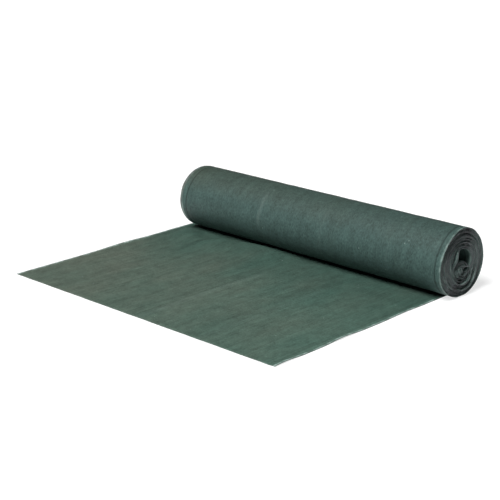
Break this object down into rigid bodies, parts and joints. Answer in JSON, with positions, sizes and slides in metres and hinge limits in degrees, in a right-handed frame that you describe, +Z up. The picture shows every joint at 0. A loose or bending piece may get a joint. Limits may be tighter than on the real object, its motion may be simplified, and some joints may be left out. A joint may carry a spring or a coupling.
{
  "type": "windbreak screen roll",
  "caption": "Roll of dark green knitted windbreak net wound on itself with no tube, its loose end laid out flat in front.",
  "frame": {"origin": "on the surface that the cloth lies on, halfway along the line on which the roll rests, on the underside of the loose end", "axes": "+X across the cloth, along the roll; +Y from the cut edge of the loose end towards the roll; +Z up"},
  "size_m": [1.04, 0.7896, 0.1891],
  "materials": {
    "rolled_net": "matt knitted polyethylene tape net, dark grey-green, wound in close layers",
    "laid_net": "matt knitted polyethylene tape net, dark grey-green, with fine ribs along its length and a paler selvedge"
  },
  "bodies": {
    "root": {"wound_roll": "rolled_net", "loose_end": "laid_net"}
  },
  "joints": []
}
